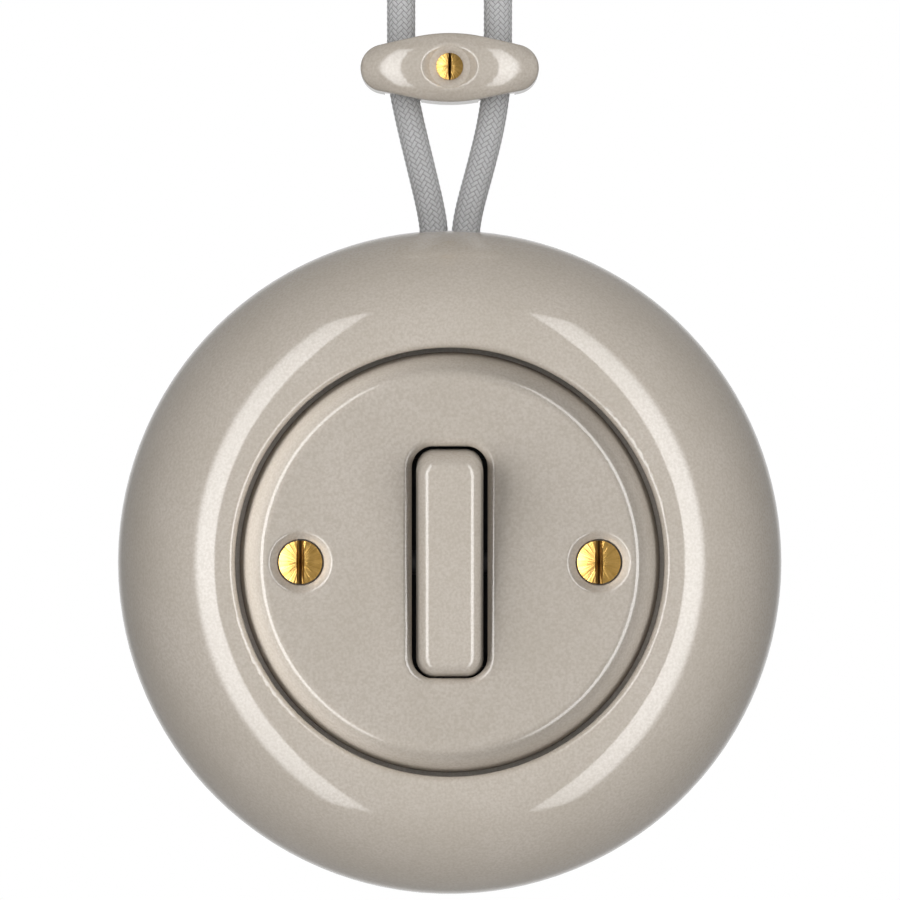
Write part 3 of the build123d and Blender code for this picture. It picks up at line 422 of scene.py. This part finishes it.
def route_points(name):
    """The smooth line of a cord's route, read back from its NURBS spline, as an array."""
    curve = bpy.data.curves.new(name + "_route", "CURVE")
    curve.dimensions = "3D"
    curve.resolution_u = ROUTE_STEPS
    spline = curve.splines.new("NURBS")
    route = CORD_ROUTES[name]
    spline.points.add(len(route) - 1)
    for point, (x, z) in zip(spline.points, route):
        point.co = (x, -CORD_DEPTH, z, 1.0)
    spline.order_u = ROUTE_ORDER
    spline.use_endpoint_u = True
    carrier = bpy.data.objects.new(name + "_route", curve)
    line = bpy.data.meshes.new_from_object(carrier)
    points = np.array([vertex.co[:] for vertex in line.vertices])
    bpy.data.objects.remove(carrier)
    bpy.data.curves.remove(curve)
    bpy.data.meshes.remove(line)
    return points


def along_line(points, count):
    """count points evenly spaced along a line, the unit direction at each, and their reach."""
    steps = np.linalg.norm(np.diff(points, axis=0), axis=1)
    reach = np.concatenate([[0.0], np.cumsum(steps)])
    places = np.linspace(0.0, reach[-1], count)
    even = np.stack([np.interp(places, reach, points[:, axis]) for axis in range(3)], axis=1)
    direction = np.gradient(even, axis=0)
    direction /= np.linalg.norm(direction, axis=1)[:, None]
    return even, direction, places


def top_strand(around, along):
    """Which strand lies on top at a place on the braid, as its cell for on_strand.

    around is in strand widths about the cord and along in pitches. Each strand passes over
    two of the other family and then under two, so the floats stand in columns up the cord.
    """
    i, j = np.floor(around + along), np.floor(around - along)
    return i, j, np.mod(i + j, BRAID_REPEAT)


def on_strand(around, along, cell):
    """A place on the braid told from the strand in cell: (across it, along its float)."""
    i, j, column = cell
    a, b = around + along - i, around - along - j
    over = BRAID_REPEAT / 2
    leans_left = column < over
    across = np.where(leans_left, a, b)
    float_part = np.where(leans_left, (column + b) / over, (column - over + a) / over)
    return across, float_part


def braid_radius(around, along):
    """The skin's distance from the cord's middle, highest on the crown of each float."""
    across, float_part = on_strand(around, along, top_strand(around, along))
    crown = np.sqrt(np.clip(1 - (2 * across - 1) ** 2, 0, 1))
    arch = BRAID_DIVE + (1 - BRAID_DIVE) * np.sin(pi * float_part)
    return CORD_RADIUS - BRAID_RELIEF * (1 - crown * arch)


def braided_cord(name, material):
    """A cord as a fine tube whose skin rises and falls with its braid, and its middle line."""
    path, direction, places = along_line(route_points(name), BRAID_ALONG)
    outward = np.tile([0.0, -1.0, 0.0], (BRAID_ALONG, 1))
    sideways = np.cross(direction, outward)
    turn, level = np.meshgrid(np.arange(BRAID_AROUND) / BRAID_AROUND, places)
    radius = braid_radius(turn * BRAID_STRANDS, level / BRAID_PITCH)
    front, side = np.cos(turn * tau)[..., None], np.sin(turn * tau)[..., None]
    ring = outward[:, None] * front + sideways[:, None] * side
    skin = (path[:, None] + ring * radius[..., None]).reshape(-1, 3)

    rows, columns = np.meshgrid(
        np.arange(BRAID_ALONG - 1), np.arange(BRAID_AROUND), indexing="ij"
    )
    beside = (columns + 1) % BRAID_AROUND
    row_start = rows * BRAID_AROUND
    next_start = row_start + BRAID_AROUND
    faces = np.stack(
        [row_start + columns, next_start + columns, next_start + beside, row_start + beside],
        axis=-1,
    ).reshape(-1, 4)
    last = len(skin) - 1
    ends = [list(range(BRAID_AROUND)), list(range(last, last - BRAID_AROUND, -1))]
    mesh = bpy.data.meshes.new(name + "_braid")
    mesh.from_pydata(skin.tolist(), [], faces.tolist() + ends)
    mesh.shade_smooth()
    mesh.materials.append(material)
    paint_strands(mesh, rows.ravel(), columns.ravel(), places)
    piece = bpy.data.objects.new(name + "_braid", mesh)
    bpy.context.scene.collection.objects.link(piece)
    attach(piece, "base")
    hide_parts(name)
    return piece, path


def paint_strands(mesh, rows, columns, places):
    """Gives each face the place of its corners on the strand that lies on top there."""
    strand_step = BRAID_STRANDS / BRAID_AROUND
    middle = (places[rows] + places[rows + 1]) / 2
    cell = top_strand((columns + 0.5) * strand_step, middle / BRAID_PITCH)
    layer = mesh.uv_layers.new(name="strand")
    values = np.zeros((len(mesh.loops), 2), np.float32)
    for corner, (side, step) in enumerate([(0, 0), (0, 1), (1, 1), (1, 0)]):
        around, along = (columns + side) * strand_step, places[rows + step] / BRAID_PITCH
        values[corner:4 * len(rows):4] = np.stack(on_strand(around, along, cell), axis=-1)
    layer.data.foreach_set("uv", values.ravel())


def make_cords():
    cloth = braided_cloth()
    for name, holds_ends in (("cord_left", True), ("cord_right", False)):
        piece, path = braided_cord(name, cloth)


def make_camera():
    data = bpy.data.cameras.new("camera")
    data.sensor_width = SENSOR
    data.lens = SENSOR * (CAMERA_DISTANCE - WIDEST_DEPTH) / VIEW_WIDTH
    data.shift_x = (PICTURE / 2 - RING_X_PIXEL) / PICTURE
    data.shift_y = (RING_Y_PIXEL - PICTURE / 2) / PICTURE
    data.clip_start = NEAR_CLIP
    camera = bpy.data.objects.new("camera", data)
    camera.location = (0, -CAMERA_DISTANCE, 0)
    camera.rotation_euler = (pi / 2, 0, 0)
    bpy.context.scene.collection.objects.link(camera)
    bpy.context.scene.camera = camera


def make_lamp(name, turn, rise, distance, width, height, glow, reflects, link, fades):
    """A soft panel facing the object, turn degrees to the right and rise degrees above level.

    glow is its brightness. A panel either reflects in gloss or lights matt surfaces, so the
    two can be set apart. link says which pieces alone it lights or which it leaves out. fades
    is None, or the places across it between which its outer edge comes up from dark.
    """
    data = bpy.data.lights.new(name, "AREA")
    data.shape = "RECTANGLE"
    data.size = width
    data.size_y = height
    data.energy = glow * width * height * AREA_LIGHT_SHARE
    lamp = bpy.data.objects.new(name, data)
    turn, rise = radians(turn), radians(rise)
    heading = Vector((sin(turn) * cos(rise), -cos(turn) * cos(rise), sin(rise)))
    lamp.location = heading * distance
    lamp.rotation_euler = (-lamp.location).to_track_quat("-Z", "Y").to_euler()
    lamp.visible_camera = False
    lamp.visible_diffuse = not reflects
    lamp.visible_glossy = reflects
    bpy.context.scene.collection.objects.link(lamp)
    state, pieces = link
    linked = bpy.data.collections.new(name + "_pieces")
    for piece in pieces:
        linked.objects.link(nodes[piece])
    for entry in linked.collection_objects:
        entry.light_linking.link_state = state
    lamp.light_linking.receiver_collection = linked
    if fades:
        fade_lamp(data, *fades)


def fade_lamp(data, outer, inner):
    """Lets a lamp die away across its outer edge, and in part towards its top and bottom."""
    data.use_nodes = True
    t = Tree(data.node_tree)
    place = t.split(t.add("ShaderNodeNewGeometry").outputs["Parametric"])
    edge = t.remap(place["X"], outer, inner, interpolation_type="SMOOTHSTEP")
    ends = t.remap(t.maths("PINGPONG", place["Y"], 0.5), 0.0, 0.5, END_GLOW, 1.0)
    t.feed(t.tree.nodes["Emission"].inputs["Strength"], t.maths("MULTIPLY", edge, ends))


def make_world():
    """White to the camera. Gloss sees dark sides and a bright background; the rest is even."""
    world = bpy.data.worlds.new("studio")
    world.use_nodes = True
    t = Tree(world.node_tree)
    t.tree.nodes.clear()
    heading = t.split(t.add("ShaderNodeTexCoord").outputs["Generated"])["Y"]
    gloss_tone = t.ramp(t.remap(heading, -1.0, 1.0), GLOSS_WORLD)
    even, gloss, white = (
        t.add("ShaderNodeBackground", {"Color": colour}).outputs[0]
        for colour in ((EVEN_WORLD, EVEN_WORLD, EVEN_WORLD, 1), gloss_tone, (1, 1, 1, 1))
    )
    rays = t.add("ShaderNodeLightPath").outputs
    unseen = t.add("ShaderNodeMixShader", {0: rays["Is Glossy Ray"], 1: even, 2: gloss})
    seen = t.add("ShaderNodeMixShader", {0: rays["Is Camera Ray"], 1: unseen.outputs[0], 2: white})
    t.add("ShaderNodeOutputWorld", {"Surface": seen.outputs[0]})
    bpy.context.scene.world = world


def make_floor():
    """A pale floor for the raised views. It is seen, and neither hides nor adds any light."""
    mesh = bpy.data.meshes.new("floor")
    corners = [(-1, -1), (1, -1), (1, 1), (-1, 1)]
    mesh.from_pydata(
        [(x * FLOOR_HALF, y * FLOOR_HALF, FLOOR_LEVEL) for x, y in corners], [], [(0, 1, 2, 3)]
    )
    m = Shader("floor")
    pale = m.mix(m.noise(scale=6, detail=2.0), *FLOOR_TONES)
    m.set(Base_Color=pale, Roughness=0.7, Emission_Color=pale, Emission_Strength=FLOOR_GLOW)
    mesh.materials.append(m.material)
    floor = bpy.data.objects.new("floor", mesh)
    floor.visible_diffuse = False
    floor.visible_glossy = False
    floor.visible_shadow = False
    bpy.context.scene.collection.objects.link(floor)


bpy.context.scene.view_settings.view_transform = "Standard"
make_camera()
make_world()
for lamp in LAMPS:
    make_lamp(*lamp)
make_floor()
dress_everything()
make_cords()
